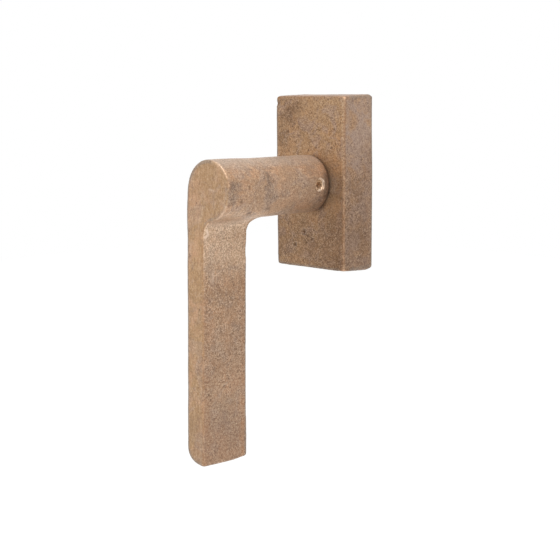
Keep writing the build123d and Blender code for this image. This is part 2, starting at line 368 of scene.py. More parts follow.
# Small dark pits, as above
HANDLE_SPOTS = [
    (10.9, 58.3, 1.5, 1.0, 1.0),
    (10.3, 61.6, -3.8, 1.3, 1.0),
    (7.0, 55.1, -8.5, 1.6, 1.0),
    (8.4, 46.2, -7.1, 1.5, 0.8),
    (BAR_RIGHT, 54.0, -33.6, 0.8, 1.0),
    (BAR_RIGHT, 53.5, -36.0, 0.9, 1.0),
    (BAR_RIGHT, 60.3, -37.5, 0.7, 1.0),
    (BAR_RIGHT, 54.8, -41.0, 1.0, 1.0),
    (BAR_RIGHT, 56.4, -46.8, 0.9, 0.9),
    (BAR_RIGHT, 63.0, -96.4, 1.0, 1.0),
    (BAR_RIGHT, 66.2, -98.6, 0.9, 0.8),
]
# From X, depth and Z to X, depth and Z
HANDLE_SCRATCHES = [
    (0.9, BAR_FRONT, 0.5, 3.0, BAR_FRONT, 0.2),
    (BAR_RIGHT, 64.2, -31.0, BAR_RIGHT, 64.2, -34.5),
    (BAR_RIGHT, 60.0, -86.0, BAR_RIGHT, 54.0, -86.6),
    (8.9, 30.6, 6.5, 9.0, 29.4, 6.3),
    (8.4, 59.3, 7.1, 8.6, 58.2, 6.8),
    (9.4, 18.9, -5.6, 9.5, 18.7, -5.6),
]
# Rubbed rims with painted highlights, as above: at the top corner of the bar's side, and at the
# disc's lower right
CORNER_RIMS = [
    (-2.0, 65.4, -12.7, BAR_RIGHT, 66.9, -12.7),
    (BAR_RIGHT, 66.9, -12.7, BAR_RIGHT, 67.8, -14.0),
    (BAR_RIGHT, 67.8, -14.0, BAR_RIGHT, 66.5, -16.2),
    (BAR_RIGHT, 66.5, -16.2, BAR_RIGHT, 67.9, -17.3),
]
DISC_RIM = [
    (9.3, 68.4, -5.2, 8.2, 68.4, -7.0),
    (8.2, 68.4, -7.0, 6.0, 68.4, -9.2),
    (6.0, 68.4, -9.2, 4.2, 68.3, -10.4),
]
HANDLE_SWELLS = [(0.10, 13, 1), (0.05, 5, 2)]
HANDLE_SAND = [(0.035, 1.4, 3), (0.02, 0.75, 4)]
SPOT_DEEP = 0.22
HANDLE_PITS = 70


def in_the_bores(cloud):
    """Which points lie inside the neck."""
    x, depth, z = cloud.places()
    inside = (np.hypot(x, z) < NECK_RADIUS - 0.6) & (depth < BAR_FRONT - 4) & (depth > 10.9)
    return cloud.spread(inside.astype(float), 2) > 0.01


def soften_handle(cloud, inside):
    """Softens the root, the crease beside it, the disc's right edge and the bar's toe."""
    x, depth, z = cloud.places()
    root = (z < -1.0) & (z > -26) & (depth > 34) & (depth < 49) & ~inside
    cloud.smooth(26, cloud.spread(root.astype(float), 8), keep_size=False)
    crease = np.clip(1 - np.hypot(x - 0.5, z + 12.8) / 5.5, 0, 1) * step(depth, 44, 50)
    crease *= 1 - step(depth, 66.8, 67.8)
    cloud.smooth(14, crease, keep_size=False)
    cloud.smooth(1, (~inside).astype(float), keep_size=False)
    flank = step(depth, 66.0, 68.0) * step(x, 8.0, 10.0) * step(np.abs(z), 5.5, 3.0)
    cloud.smooth(26, flank * step(depth, 66.0, 68.0), keep_size=False)
    toe = blob(cloud.points, (BAR_RIGHT, -BAR_FRONT, BAR_END), 5.5)
    cloud.smooth(30, toe, keep_size=False)
    return toe


def bend_handle(cloud, toe):
    """The head swells towards its upper left, and the bar is a little wide and out of true."""
    x, depth, z = cloud.places()
    down = np.clip((-z - NECK_RADIUS) / BAR_DROP, 0, 1)
    radius = np.maximum(np.hypot(x, z), 1.0)
    swell = HEAD_SWELL * step(z + 0.6 * np.maximum(-x, 0), 1.0, 7.0) * step(depth, 46, 58)
    swell += NECK_SAG * step(depth, 29, 41) * step(-z, 2, 9) * step(z, -18, -11)
    swell *= step(radius, 9.5, 10.8)
    left = BAR_WIDENING * step(-x, 6.0, 10.5) * step(z, 3.0, -6.0) * step(depth, 42, 47)
    back = step(depth, 56, 47) * step(z, -12, -22)
    bulge = BACK_BULGE["all over"] - BACK_BULGE["less below"] * step(z, -22, -34)
    bulge += BACK_BULGE["end"] * step(z, -80, -98)
    bulge += BACK_BULGE["root"] * ridge(z, -18.5, 3.0)
    crown = step(z, -98, -103) * np.sin(math.pi * np.clip((depth - BAR_BACK) / 22, 0, 1))
    cloud.points[:, 0] += swell * x / radius - left * (1 + 0.2 * down) - BAR_LEAN * down
    cloud.points[:, 1] += bulge * back
    cloud.points[:, 2] += swell * z / radius - END_CROWN * crown
    heel = HEEL_LIFT * step(depth, 53, 48) * step(z, -99, -102.5)
    cloud.points[:, 2] += heel - TOE_DROP * toe


def handle_pits():
    """Small casting pits, by chance, on the bar's two sides and round the neck."""
    chance = random.Random(SEED)
    pits = []
    for _ in range(HANDLE_PITS):
        kind = chance.random()
        z = chance.uniform(-100, -14)
        if kind < 0.75:
            lean = BAR_LEAN * (-z - NECK_RADIUS) / BAR_DROP
            x = (BAR_RIGHT if kind < 0.45 else BAR_LEFT) - lean
            depth = chance.uniform(48.5, 67)
        else:
            turn = chance.uniform(0, 2 * math.pi)
            x, z = NECK_RADIUS * math.cos(turn), NECK_RADIUS * math.sin(turn)
            depth = chance.uniform(24, 62)
        deep = chance.uniform(0.06, 0.18)
        pits.append((x, depth, z, chance.uniform(0.5, 0.9), deep))
    return pits


def handle_regions(cloud, inside):
    """The regions that the handle's finish goes by."""
    x, depth, z = cloud.places()
    at = SimpleNamespace(points=cloud.points, normals=cloud.normals(), x=x, depth=depth, z=z)
    at.turn = np.degrees(np.arctan2(z, x))
    at.free = (~inside).astype(float) * step(depth, 15.6, 16.6)
    at.front = step(-at.normals[:, 1], 0.55, 0.9) * step(depth, 66.6, 67.6)
    at.sides = 1 - at.front
    at.above_bar = step(z + 0.35 * waves(at.points, 2.5, 8), -13.4, -12.6)
    to_right = step(at.normals[:, 0], 0.3, 0.8)
    at.right_of_bar = to_right * (x < 0)
    at.flat = to_right * step(z, -14, -18)
    at.right_edge = step(depth, 66.0, 67.6) * step(x, BAR_RIGHT - 2.6, BAR_RIGHT - 1.6)
    at.right_edge *= step(z, -12, -14)
    at.crease = ridge(z, -12.2, 1.4) * step(depth, 43, 50) * step(x, -5.5, -4.0)
    return at


def handle_push(at, grain, spots):
    """How far the surface stands out, with a proud edge at the top of the bar's right side."""
    push = relief(at.points, HANDLE_SWELLS)
    push += grain * relief(at.points, HANDLE_SAND)
    ledge = ridge(at.z, -14.7, 2.0) * (1 - at.above_bar) * at.right_of_bar
    push += ledge * (0.08 + 0.08 * waves(at.points, 2.4, 5))
    push -= SPOT_DEEP * spots
    for x, depth, z, size, deep in handle_pits():
        push -= deep * blob(at.points, (x, -depth, z), size)
    return push


def handle_wear(at, edge, rim):
    """Rubbed metal and painted highlights: a painted highlight on the disc's rim where the light
    catches it, rubbed rims with painted highlights at the bar's top corner and the disc's lower
    right, and scratches.
    """
    broken = uneven(at.points, 0.8, (0.5, 2.0, 6), (0.4, 6.0, 7))
    return strongest(
        # painted highlight on the disc's rim
        step(edge, 0.11, 0.19) * broken * at.free * rim * 0.60,
        0.32 * scratches(at.points, HANDLE_SCRATCHES),
        1.15 * scratches(at.points, CORNER_RIMS),
        0.5 * broken * scratches(at.points, DISC_RIM),
    )


def handle_warm(at, rounded):
    """Redder metal: strips along the front and back edges of the bar's side, and its foot."""
    low = step(at.z, -60, -85)
    edge = 0.55 * rounded * at.right_edge
    front = step(at.depth, 65.0 - 1.2 * low, 67.2) * at.flat * (0.42 + 0.25 * low)
    back = step(at.depth, 50.6, 49.4) * step(at.depth, 47.6, 48.2) * step(at.z, -24, -34)
    back = back * at.flat * (0.72 + 0.68 * step(at.z, -76, -86))
    return strongest(
        strongest(edge, front, back) * uneven(at.points, 0.8, (0.5, 4.0, 10)),
        0.34 * step(at.z, -78, -94) * at.flat,
        0.22 * step(at.z, -82, -66) * at.flat,
    )


def handle_dull(at, rounded):
    """Dark, dull metal: the left edges, the bar's back and the back edge of its side."""
    return strongest(
        0.9 * rounded * (1 - at.right_edge) * step(at.normals[:, 0], 0.35, -0.1),
        0.9 * step(at.normals[:, 1], 0.15, 0.6) * step(at.z, -13, -18),
        0.8 * step(at.depth, 48.3, 47.4) * step(at.x, -5, -3.5) * step(at.z, -20, -30),
    )


def handle_pale(at):
    """Pale grains and painted light: the top of the bar's side, partly rubbed and partly lit, and
    painted light on the neck's underside by the bar's root and in the crease.
    """
    ledge = ridge(at.z, -15.2, 2.8) * (1 - at.above_bar) * at.right_of_bar
    upper = step(at.z, -38, -20) * (1 - at.above_bar) * at.right_of_bar
    # painted light on downward faces, where shade falls
    under = step(-at.normals[:, 2], 0.15, 0.7) * step(at.depth, 42, 50) * step(at.z, -17, -15)
    under *= 1 - 0.85 * blob(at.points, (6.2, -54.6, -9.2), 6)
    return strongest(
        # rubbed and lit grains at the top of the bar's side, then painted light under the neck
        # and in the crease
        np.maximum(ledge, upper) * uneven(at.points, 0.9, (0.35, 2.6, 9)),
        0.50 * under * step(at.z, -6, -9) * at.sides,
        0.75 * at.crease * at.sides,
    )


def handle_shade(at):
    """Painted shade: how far each place is darkened towards the stain tone, more down the bar, on
    the disc's lower front and on the neck by the rosette.
    """
    kept = 0.5 * blob(at.points, (-9.7, -BAR_FRONT, -96.0), 8)
    kept += 0.45 * blob(at.points, (BAR_RIGHT, -60.6, -74.0), 8)
    bar = 0.38 * step(at.z, -24, -45) * (1 - 0.6 * at.front)
    low_side = 0.30 * step(at.z, -50, -60) * at.sides
    foot = step(at.z, -78, -96) * (0.62 + 0.22 * at.sides)
    disc = 0.22 * step(at.z, -11, -5) * at.front
    neck = 0.14 * step(at.z, 4, 1) * step(at.z, -9, -5) * step(at.depth, 60, 54) * at.free
    back_of_neck = 0.25 * step(at.depth, 42, 34) * at.free
    return bar + low_side + foot - kept + disc + neck + back_of_neck


def store_handle_layers(cloud, at, grain, spots):
    edge = cloud.spread(cloud.curvature(8), 1)
    # Where the disc's rim gets its painted highlight: the upper right and the lower right arc.
    rim = step(at.turn, 18, 32) * step(at.turn, 88, 66)
    rim += 0.55 * step(at.turn, -28, -38) * step(at.turn, -82, -64)
    rim *= step(at.depth, 60, 66)
    rounded = step(edge, 0.012, 0.05) * at.free * (1 - np.clip(rim, 0, 1))

    off_rosette = step(at.depth, 15.0, 15.4)
    # Painted shade on the neck beside the rosette, reaching further on its right side by the set
    # screw's hole.
    at_ring = step(at.depth, 19.2, 15.8) * off_rosette * step(at.turn, 60, 25)
    by_hole = step(at.depth, 20.2, 17.6) * off_rosette * step(np.abs(at.turn + 2), 36, 20)
    by_hole *= uneven(at.points, 0.9, (0.3, 2.2, 11))
    # Painted shade along the disc's right edge, beside its highlight.
    flank = step(at.turn, 32, 4) * step(at.turn, -44, -16) * (at.x > 6) * at.sides
    flank *= step(at.depth, 62.0, 67.6)
    neck_foot = np.maximum(0.62 * at_ring, 0.85 * by_hole) * (at.x > 2)
    stains = patches(ragged(at.points, 20), HANDLE_STAINS)
    # painted light on the upward faces of the neck's top
    top = step(at.normals[:, 2], 0.5, 0.95) * step(at.z, 6, 9) * at.free
    cloud.store(
        facing=at.front,
        grain=grain,
        # rubbed metal and painted highlights
        wear=handle_wear(at, edge, rim),
        warm=handle_warm(at, rounded),
        # pits, and painted shade on the neck by the rosette and along the disc's right edge
        dirt=np.maximum(neck_foot, spots) + 0.10 * flank,
        # stains, and painted shade on the neck by the rosette and along the disc's right edge
        stain=strongest(stains, 0.6 * at_ring, by_hole) + 0.35 * flank,
        dull=handle_dull(at, rounded),
        # painted light on the neck's top and in the crease
        sky=np.maximum(top, 0.8 * at.crease * at.sides),
        # painted shade, darker down the bar and by the rosette
        low=handle_shade(at),
        # pale grains and painted light
        pale=handle_pale(at),
    )


def cut_hole(piece):
    cutter = add_object("hole_cutter", hole_cutter())
    cut = piece.modifiers.new("hole", "BOOLEAN")
    cut.operation = "DIFFERENCE"
    cut.solver = "EXACT"
    cut.object = cutter
    applied(piece)
    bpy.data.objects.remove(cutter)


def store_hole_layers(cloud):
    """Painted light in the hole: a painted highlight on its bare metal, on the side that catches
    the light and at its lip, and painted shade on the other side.
    """
    x, depth, z = cloud.places()
    across = HOLE_DEPTH - depth
    off_axis = np.hypot(across, z)
    reach = np.maximum(off_axis, 0.01)
    lit_side = step((across + 0.3 * z) / reach, -0.3, 0.4)
    at_hole = (off_axis < HOLE_RADIUS + 0.05) & (x > HOLE_FLOOR + 0.2)
    upright = np.abs(z - 0.3) / reach
    glint = 0.40 + 0.60 * step(upright, 0.25, 0.6)
    glint *= 1 - 0.35 * step(z, 0.0, -1.0)
    glint *= 1 - 0.85 * step(z, -1.2, -1.9)
    lip = step(off_axis, HOLE_RADIUS + 0.55, HOLE_RADIUS + 0.2) * (x > 9)
    lip *= step(across, 0.1, 0.8) * step(z, 0.9, 1.7)
    # painted highlight on the lit side and the lip, painted shade on the other side
    bright = np.maximum(at_hole * lit_side * glint, 0.75 * lip)
    cloud.store(bright=bright, hollow=at_hole * (1 - lit_side))


def make_handle():
    piece = dense_copy("handle", "handle_casting", HANDLE_VOXEL, (root_web(), hole_plug()))
    cloud = Cloud(piece)
    cloud.smooth(3)
    inside = in_the_bores(cloud)
    toe = soften_handle(cloud, inside)
    bend_handle(cloud, toe)

    at = handle_regions(cloud, inside)
    grain = cloud.spread(1 - 0.50 * at.front - 0.1 * at.above_bar * at.sides, 2)
    spots = patches(at.points, HANDLE_SPOTS)
    push = handle_push(at, grain, spots)
    cloud.points = at.points + at.normals * (push * at.free)[:, None]
    store_handle_layers(cloud, at, grain, spots)
    cloud.write()

    cut_hole(piece)
    cloud = Cloud(piece)
    store_hole_layers(cloud)
    cloud.shade(sharp_angle=48)
    return piece


# Rosette cover

# X, depth, Z, radius and how deep
ROSETTE_PITS = [
    (-3.6, 15.0, -19.1, 1.2, 0.55),
    (-1.5, 15.0, -20.6, 0.8, 0.25),
    (0.6, 15.0, -21.8, 1.0, 0.45),
    (-8.6, 15.0, -24.4, 1.0, 0.5),
    (-18.0, 14.6, 30.3, 1.5, 0.5),
    (-18.2, 13.5, 14.0, 1.1, 0.3),
    (-12.5, 15.0, 19.4, 0.9, 0.3),
    (18.6, 0.6, 8.0, 1.2, 0.3),
]
# X, depth, Z, radius and strength
ROSETTE_STAINS = [
    (-12.0, 15.0, 26.0, 8.0, 1.0),
    (-7.5, 15.0, 29.5, 6.0, 0.7),
    (-14.5, 15.0, 17.0, 7.0, 0.8),
    (-6.0, 15.0, 20.0, 5.0, 0.4),
    (14.5, 15.0, -3.0, 8.0, 0.4),
    (11.0, 15.0, -18.0, 10.0, 0.6),
    (15.0, 15.0, -29.0, 7.0, 0.6),
    (0.0, 15.0, -26.0, 8.0, 0.55),
    (8.0, 15.0, -25.5, 7.0, 0.55),
    (18.5, 12.0, -17.5, 6.0, 0.4),
    (-13.0, 15.0, -24.0, 6.0, 0.35),
    (9.0, 15.0, 13.0, 5.0, 0.35),
    (18.5, 9.0, -2.0, 8.0, 0.6),
    (18.5, 6.0, -20.0, 9.0, 0.6),
    (18.5, 3.0, 12.0, 6.0, 0.4),
    (18.5, 11.0, 25.0, 5.0, 0.3),
    (-18.5, 8.0, 10.0, 9.0, 0.7),
    (-18.5, 8.0, -20.0, 9.0, 0.6),
    (5.0, 7.0, 33.5, 8.0, 0.6),
    (-6.0, 7.0, -33.5, 8.0, 0.6),
]
ROSETTE_SWELLS = [(0.10, 15, 31), (0.05, 6, 32)]
ROSETTE_SAND = [(0.045, 1.5, 33), (0.03, 0.8, 34)]
MORE_PITS = 60


def rosette_pits():
    """The pits that show, and small ones by chance on every face but the back."""
    side_x, end_z = 18.4, 33.4
    pits = list(ROSETTE_PITS)
    chance = random.Random(SEED + 1)
    for _ in range(MORE_PITS):
        kind = chance.random()
        if kind < 0.4:
            place = (chance.uniform(-17, 17), ROSETTE_DEPTH, chance.uniform(-32, 32))
        elif kind < 0.8:
            side = chance.choice((-side_x, side_x))
            place = (side, chance.uniform(2, 14), chance.uniform(-32, 32))
        else:
            x, depth = chance.uniform(-17, 17), chance.uniform(2, 14)
            place = (x, depth, chance.choice((-end_z, end_z)))
        pits.append((*place, chance.uniform(0.4, 0.8), chance.uniform(0.06, 0.18)))
    return pits


def round_long_corners(cloud, half_width, half_height):
    """Rounds the four edges that run from the front to the sash."""
    x, depth, z = cloud.places()
    low_right = 0.7 + 1.6 * step(depth, 14, 3)
    for side_x, side_z, corner in ((1, -1, low_right), (1, 1, 1.2), (-1, 1, 2.0), (-1, -1, 1.4)):
        beyond_x = side_x * x - (half_width - corner)
        beyond_z = side_z * z - (half_height - corner)
        far = np.hypot(beyond_x, beyond_z)
        cut = (beyond_x > 0) & (beyond_z > 0) & (far > corner)
        share = np.where(cut, 1 - corner / np.maximum(far, 0.01), 0)
        cloud.points[:, 0] -= side_x * beyond_x * share
        cloud.points[:, 2] -= side_z * beyond_z * share


def wear_back_corner(cloud, outside):
    x, depth, z = cloud.places()
    beyond_z = -z - (HALF_HEIGHT + DRAFT - WORN_HEIGHT)
    beyond_back = WORN_DEPTH - depth
    far = np.hypot(beyond_z / WORN_HEIGHT, beyond_back / WORN_DEPTH)
    cut = (beyond_z > 0) & (beyond_back > 0) & (far > 1) & outside
    share = np.where(cut, 1 - 1 / np.maximum(far, 0.01), 0) * step(x, 9, 17)
    cloud.points[:, 1] -= beyond_back * share
    cloud.points[:, 2] += beyond_z * share


def bend_rosette(cloud, shell, free):
    """The block came out of its mould a little wide at the upper left and high at the back."""
    x, depth, z = cloud.places()
    to_back = 1 - depth / ROSETTE_DEPTH
    to_front = 1 - to_back
    at_right = step(x, 12.0, 17.5)
    left = (LEFT_SWELL + UPPER_LEFT_SWELL * step(z, -22, 12)) * step(-x, 12.0, 17.5) * free
    right = FRONT_INSET * at_right * to_front * free
    lean = BACK_INSET * at_right * to_back * step(z, 0, 26) * shell
    cloud.points[:, 0] -= left + right + lean
    lift = TOP_LIFT["back right"] * np.clip((x + 12) / 30, 0, 1) * to_back
    rise = TOP_LIFT["front right"] * np.clip((x + 18) / 36, 0, 1)
    lift += (TOP_LIFT["front"] + rise) * to_front
    cloud.points[:, 2] += lift * step(z, 27, 33) * free


def rosette_regions(cloud, outside, normals):
    """The regions that the rosette's finish goes by."""
    x, depth, z = cloud.places()
    at = SimpleNamespace(points=cloud.points, outside=outside, x=x, depth=depth, z=z)
    at.front = step(-normals[:, 1], 0.6, 0.9)
    at.sides = 1 - at.front
    forward = step(depth, 11.0, 13.5)
    at.right_edge = forward * step(x, 14.5, 16.5)
    at.top_edge = forward * step(z, 31.0, 32.3)
    at.by_neck = step(np.hypot(x, z), 20, 13) * step(x, 5, 10) * at.front
    at.under_neck = blob(at.points, (3.5, -ROSETTE_DEPTH, -12.5), 8)
    return at


def rosette_wear(at, edge):
    """Metal rubbed bright along the front's right edge, and painted highlights at its two right
    corners.
    """
    broken = uneven(at.points, 0.8, (0.4, 2.0, 36), (0.4, 7.0, 37))
    # painted highlights at the front's top and bottom right corners
    knocked = blob(at.points, (17.3, -14.6, 32.6), 3.5)
    knocked += blob(at.points, (17.3, -14.6, -32.8), 2.2)
    along = at.right_edge * broken * (0.06 + 0.22 * step(at.z, 5, -12))
    return step(edge, 0.05, 0.13) * at.outside * (along + 0.7 * knocked)


def rosette_warm(at, rim):
    """Redder metal: along edges, at the back of the right side, and above and below the neck."""
    back_band = 0.5 * step(at.x, 15, 17) * step(at.depth, 4.5, 2.0) * step(at.z, 24, 12)
    return strongest(
        rim * np.maximum(1.3 * at.right_edge, 0.7 * at.top_edge),
        back_band * (0.6 + 0.4 * waves(at.points, 5, 38)),
        0.16 * at.under_neck,
        0.24 * blob(at.points, (0.0, -ROSETTE_DEPTH, 23.5), 7),
        0.13 * at.front * step(at.z, -13, -22),
    )


def rosette_shade(at):
    """Painted shade: how far each place is darkened towards the stain tone, more towards the
    bottom and on the sides below their top, less by and under the neck.
    """
    upper_left = 0.26 * at.front * step(at.x, 0, -12) * step(at.z, 0, 12)
    lower_left = 0.10 * at.front * step(at.x, 0, -12) * step(at.z, 12, 0)
    lower_right = 0.20 * at.front * step(at.x, 3, 11) * step(at.z, -8, -17)
    downwards = 0.94 * step(at.z, 16, -26) * (0.58 + 0.42 * step(at.x, -10, 10))
    downwards *= 1 - 0.85 * at.by_neck
    downwards *= 1 - 0.7 * at.under_neck
    side = 0.32 * at.sides * step(at.z, 20, 6)
    return upper_left + lower_left + lower_right + downwards + side


def rosette_pale(at):
    """Pale grains: a rubbed line by the right edge, painted light beside the neck, and paler
    places at the upper right.
    """
    rubbed = step(np.abs(at.x - 16.6), 0.8, 0.3) * at.front * step(at.z, -14, 4)
    greyed = 0.12 * at.front * step(at.x, -1, 6) * step(at.z, 22, 27)
    greyed += 0.13 * at.sides * step(at.x, 16, 18) * step(at.z, 6, 14)
    # the grains beside the neck are painted light against its shade
    return np.maximum(0.5 * rubbed, 0.16 * at.by_neck * step(at.z, -16, -6)) + greyed


def store_rosette_layers(cloud, at, hollow):
    edge = cloud.spread(cloud.curvature(8), 1)
    rim = step(edge, 0.012, 0.05) * at.outside
    grain = 0.85 - 0.25 * at.sides * step(at.z, 4, 18) + 0.15 * at.front * step(at.z, -8, -18)
    cloud.store(
        facing=at.front,
        grain=grain,
        # rubbed metal and painted highlights
        wear=rosette_wear(at, edge),
        warm=rosette_warm(at, rim),
        # darker in the inner corners and pits
        dirt=np.maximum(step(-edge, 0.02, 0.10), hollow) * at.outside,
        stain=patches(ragged(at.points, 50), ROSETTE_STAINS),
        dull=0.85 * rim * (1 - at.right_edge) * (1 - at.top_edge),
        # painted shade, darker towards the bottom
        low=rosette_shade(at),
        pale=rosette_pale(at),
    )


def make_rosette():
    piece = dense_copy("rosette_cover", "rosette_casting", ROSETTE_VOXEL)
    cloud = Cloud(piece)
    cloud.smooth(3)
    normals = cloud.normals()
    x, depth, z = cloud.places()
    taper = DRAFT * (1 - depth / ROSETTE_DEPTH)
    half_width, half_height = HALF_WIDTH + taper, HALF_HEIGHT + taper
    outside = (np.abs(x) > half_width - 0.8) | (np.abs(z) > half_height - 0.8)
    outside |= (depth > ROSETTE_DEPTH - 0.5) & (np.hypot(x, z) > 9.7)
    shell = cloud.spread(outside.astype(float), 1)
    off_sash = step(depth, 0.3, 1.2)
    free = shell * off_sash

    round_long_corners(cloud, half_width, half_height)
    wear_back_corner(cloud, outside)
    corners = np.abs(x) + np.abs(z) > half_width + half_height - 4.0
    cloud.smooth(5, (corners & outside).astype(float) * off_sash, keep_size=False)
    bend_rosette(cloud, shell, free)

    at = rosette_regions(cloud, outside, normals)
    push = relief(at.points, ROSETTE_SWELLS) + relief(at.points, ROSETTE_SAND)
    hollow = np.zeros(len(at.points))
    for pit_x, pit_depth, pit_z, size, deep in rosette_pits():
        spot = blob(at.points, (pit_x, -pit_depth, pit_z), size)
        push -= deep * spot
        hollow = np.maximum(hollow, spot * min(1, deep * 2.4))
    cloud.points = at.points + normals * (push * free)[:, None]
    store_rosette_layers(cloud, at, hollow)
    cloud.write()
    cloud.shade(sharp_angle=60)
    return piece


# Materials

class Graph:
    """A material's node tree, with short names for the nodes that it uses."""

    def __init__(self, name):
        self.material = bpy.data.materials.new(name)
        self.material.use_nodes = True
        self.tree = self.material.node_tree
        self.tree.nodes.clear()
        self.place = self.node("ShaderNodeTexCoord").outputs["Object"]

    def node(self, kind, inputs=None, **settings):
        made = self.tree.nodes.new(kind)
        for key, value in settings.items():
            setattr(made, key, value)
        for key, value in (inputs or {}).items():
            if isinstance(value, bpy.types.NodeSocket):
                self.tree.links.new(value, made.inputs[key])
            else:
                made.inputs[key].default_value = value
        return made

    def stretched(self, scale):
        mapping = self.node("ShaderNodeMapping", {"Vector": self.place, "Scale": scale})
        return mapping.outputs["Vector"]

    def grains(self, size, detail=2.0, rough=0.5, stretch=(1, 1, 1), warp=0.0):
        """Noise around 0.5 whose bumps are about size millimetres."""
        inputs = {
            "Vector": self.stretched(tuple(1 / s for s in stretch)),
            "Scale": 1 / (size * MM),
            "Detail": detail,
            "Roughness": rough,
            "Distortion": warp,
        }
        return self.node("ShaderNodeTexNoise", inputs).outputs["Fac"]

    def dots(self, size):
        """Round dots, one to a cell of the given size, as an amount of dark and one of light."""
        inputs = {"Vector": self.place, "Scale": 1 / (size * MM)}
        cells = self.node("ShaderNodeTexVoronoi", inputs, feature="F1")
        tint = self.node("ShaderNodeSeparateColor", {"Color": cells.outputs["Color"]})
        near = self.span(cells.outputs["Distance"], 0.62, 0.30)
        dark = self.times(near, self.span(tint.outputs[0], 0.48, 0.12))
        light = self.times(near, self.span(tint.outputs[0], 0.55, 0.90))
        return dark, light

    def layer(self, name):
        return self.node("ShaderNodeAttribute", attribute_name=name).outputs["Fac"]

    def maths(self, operation, a, b):
        made = self.node("ShaderNodeMath", {0: a, 1: b}, operation=operation)
        return made.outputs[0]

    def times(self, a, b):
        return self.maths("MULTIPLY", a, b)

    def plus(self, a, b):
        return self.maths("ADD", a, b)

    def minus(self, a, b):
        return self.maths("SUBTRACT", a, b)

    def most(self, first, *others):
        for other in others:
            first = self.maths("MAXIMUM", first, other)
        return first

    def span(self, value, low, high, to_low=0.0, to_high=1.0):
        """Maps low to high onto to_low to to_high, clamped."""
        inputs = {0: value, 1: low, 2: high, 3: to_low, 4: to_high}
        return self.node("ShaderNodeMapRange", inputs, clamp=True).outputs[0]

    def mix(self, amount, a, b):
        made = self.node("ShaderNodeMix", data_type="RGBA")
        for index, value in ((0, amount), (6, a), (7, b)):
            if isinstance(value, bpy.types.NodeSocket):
                self.tree.links.new(value, made.inputs[index])
            else:
                made.inputs[index].default_value = (*value, 1)
        return made.outputs[2]

    def bump(self, height, strength, distance, normal=None):
        inputs = {"Height": height, "Strength": strength, "Distance": distance * MM}
        if normal is not None:
            inputs["Normal"] = normal
        return self.node("ShaderNodeBump", inputs).outputs["Normal"]

    def finish(self, **inputs):
        named = {key.replace("_", " "): value for key, value in inputs.items()}
        shader = self.node("ShaderNodeBsdfPrincipled", named)
        output = self.node("ShaderNodeOutputMaterial")
        self.tree.links.new(shader.outputs[0], output.inputs["Surface"])
        return self.material


# Colours, then how much there is of painted shade, ashy clouds, dark pits and light crests
HANDLE_TONES = {
    "front": (0.400, 0.238, 0.113),
    "side": (0.418, 0.257, 0.152),
    "dull": (0.235, 0.200, 0.170),
    "rosy": (0.520, 0.298, 0.170),
    "ashy": (0.380, 0.268, 0.203),
    "stain": (0.196, 0.134, 0.102),
    "warm": (0.370, 0.175, 0.078),
    "pit": (0.150, 0.090, 0.055),
    "crest": (0.790, 0.590, 0.420),
    # colour of rubbed metal and of painted highlights
    "worn": (0.780, 0.590, 0.450),
    # colour of the painted light on the neck's top and in the crease
    "sky": (0.415, 0.340, 0.283),
    # painted highlight and painted shade in the set screw's hole
    "bright": (0.980, 0.830, 0.680),
    "hollow": (0.100, 0.055, 0.030),
    "fall": 0.50,
    "clouds": 0.38,
    "dark": 0.82,
    "light": 0.60,
}
ROSETTE_TONES = {
    "front": (0.350, 0.207, 0.103),
    "side": (0.368, 0.261, 0.207),
    "dull": (0.200, 0.160, 0.130),
    "rosy": (0.430, 0.240, 0.115),
    "ashy": (0.338, 0.230, 0.176),
    "stain": (0.163, 0.087, 0.044),
    "warm": (0.270, 0.140, 0.068),
    "pit": (0.112, 0.058, 0.032),
    "crest": (0.640, 0.455, 0.300),
    "worn": (0.560, 0.350, 0.220),
    "fall": 0.55,
    "clouds": 0.65,
    "dark": 1.14,
    "light": 0.57,
}
SCREW_TONES = {
    # the socket's lighter tone is painted light, the low side and right rim are painted
    # highlights
    "end": (0.52, 0.33, 0.19),
    "socket": (0.72, 0.50, 0.32),
    "low side": (0.85, 0.60, 0.42),
    "right rim": (0.97, 0.79, 0.62),
    "pit": (0.16, 0.09, 0.04),
    "crest": (0.95, 0.78, 0.55),
}


def cast_colour(g, tones, holed):
    """The metal's tone by place, with rosy and ashy clouds, stains, painted shade, painted light
    on the handle and redder edges.
    """
    front = g.layer("facing")
    colour = g.mix(front, tones["side"], tones["front"])
    rosy = g.span(g.grains(8, 3, 0.6, warp=0.6), 0.45, 0.62)
    colour = g.mix(g.times(rosy, 0.75), colour, tones["rosy"])
    ashy = g.span(g.grains(5.5, 3, 0.6, warp=0.8), 0.48, 0.62)
    ashy = g.times(ashy, g.span(front, 0.0, 1.0, 0.65, tones["clouds"]))
    colour = g.mix(ashy, colour, tones["ashy"])
    cloudy = g.span(g.grains(3.2, 4, 0.65, warp=0.9), 0.50, 0.72)
    colour = g.mix(g.times(cloudy, 0.30), colour, tones["stain"])
    mottle = g.grains(1.7, 3, 0.65, warp=0.5)
    # Stains, with painted shade by the rosette on the handle.
    patch = g.plus(g.layer("stain"), g.span(mottle, 0.3, 0.7, -0.35, 0.35))
    patch = g.times(g.span(patch, 0.15, 0.95), 0.85)
    patch = g.times(patch, g.span(g.layer("stain"), 0.02, 0.15))
    colour = g.mix(patch, colour, tones["stain"])
    # Painted shade from the low layer, mixed towards the stain tone.
    colour = g.mix(g.times(g.layer("low"), tones["fall"]), colour, tones["stain"])
    colour = g.mix(g.times(g.layer("warm"), 0.65), colour, tones["warm"])
    colour = g.mix(g.times(g.layer("dull"), 0.75), colour, tones["dull"])
    # Painted light on the neck's top and in the crease.
    if holed:
        colour = g.mix(g.times(g.layer("sky"), 0.55), colour, tones["sky"])
    return colour


